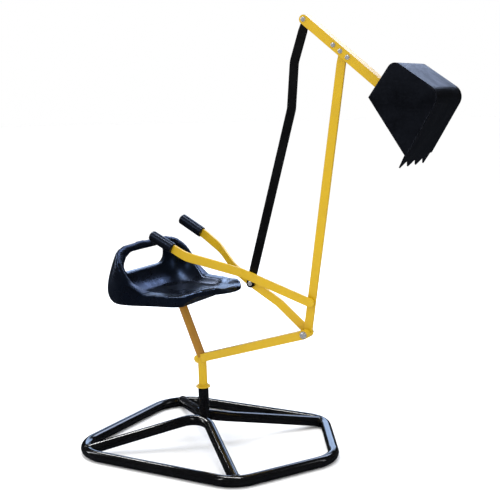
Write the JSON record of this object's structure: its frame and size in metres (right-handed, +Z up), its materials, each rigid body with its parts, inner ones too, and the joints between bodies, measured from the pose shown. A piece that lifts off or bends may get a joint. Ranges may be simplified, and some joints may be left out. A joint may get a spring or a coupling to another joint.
{
  "type": "ride-on toy excavator",
  "caption": "Ride-on sandbox excavator: black tubular base, swivelling yellow frame with bucket seat, hand levers lifting the boom and curling a toothed bucket.",
  "frame": {"origin": "on the floor, on the vertical swivel axis", "axes": "+X forward from the seat towards the base's nose and the bucket, +Y to the rider's left, +Z up"},
  "size_m": [0.8731, 0.4754, 1.007],
  "materials": {
    "yellow_paint": "gloss powder coat",
    "black_paint": "gloss paint",
    "bucket_paint": "satin paint",
    "zinc": "zinc plated",
    "seat_plastic": "semi-gloss blow-moulded polyethylene",
    "grip_rubber": "smooth soft vinyl",
    "spacer_plastic": "natural nylon"
  },
  "bodies": {
    "base": {"base_ring": "black_paint", "leg_right": "black_paint", "leg_left": "black_paint", "pivot_sleeve": "black_paint"},
    "turret": {"swivel_post": "yellow_paint", "swivel_flange": "yellow_paint", "post_plug": "yellow_paint", "retaining_washer": "zinc", "retaining_screw": "zinc", "support_arm": "yellow_paint", "elbow_crush_tube": "zinc", "seat_post": "yellow_paint", "seat_plate": "black_paint", "seat_bolts": "zinc", "seat": "seat_plastic", "elbow_bolt": "zinc", "elbow_washers": "zinc", "elbow_nut": "zinc"},
    "boom": {"boom_bar": "yellow_paint", "lift_lever": "yellow_paint", "lever_pad": "yellow_paint", "lift_grip": "grip_rubber"},
    "dig_handle": {"dig_lever": "yellow_paint", "dig_grip": "grip_rubber", "link_bolt": "zinc", "link_nut": "zinc"},
    "link": {"link_rod": "black_paint"},
    "dig_arm": {"digging_arm": "yellow_paint", "arm_bolts": "zinc", "arm_nuts": "zinc", "stop_spacers": "spacer_plastic", "pivot_spacers": "spacer_plastic", "bucket_flange": "yellow_paint", "bucket_bolts": "zinc", "bucket_nuts": "zinc", "bucket_shell": "bucket_paint", "bucket_side_left": "bucket_paint", "bucket_side_right": "bucket_paint", "cutting_edge": "bucket_paint"}
  },
  "joints": [
    {"name": "swivel", "type": "hinge", "parent": "base", "child": "turret", "pos_m": [0, 0, 0.09], "axis": [0, 0, 1], "continuous": true},
    {"name": "boom_lift", "type": "hinge", "parent": "turret", "child": "boom", "pos_m": [0.283, 0.014, 0.297], "axis": [0, 1, 0], "range_deg": [-0.5, 85]},
    {"name": "dig_pull", "type": "hinge", "parent": "boom", "child": "dig_handle", "pos_m": [0.283, 0.014, 0.297], "axis": [0, 1, 0], "range_deg": [-2, 6.5]},
    {"name": "rod_foot", "type": "hinge", "parent": "dig_handle", "child": "link", "pos_m": [0.136, 0.014, 0.403], "axis": [0, 1, 0], "range_deg": [-6.6, 2.1]},
    {"name": "wrist", "type": "hinge", "parent": "boom", "child": "dig_arm", "pos_m": [0.383, 0.014, 0.925], "axis": [0, 1, 0], "range_deg": [-3.4, 10.8]}
  ],
  "couplings": [
    {"joint": "rod_foot", "follows": "dig_pull", "ratio": -0.99},
    {"joint": "wrist", "follows": "dig_pull", "ratio": 1.625}
  ]
}
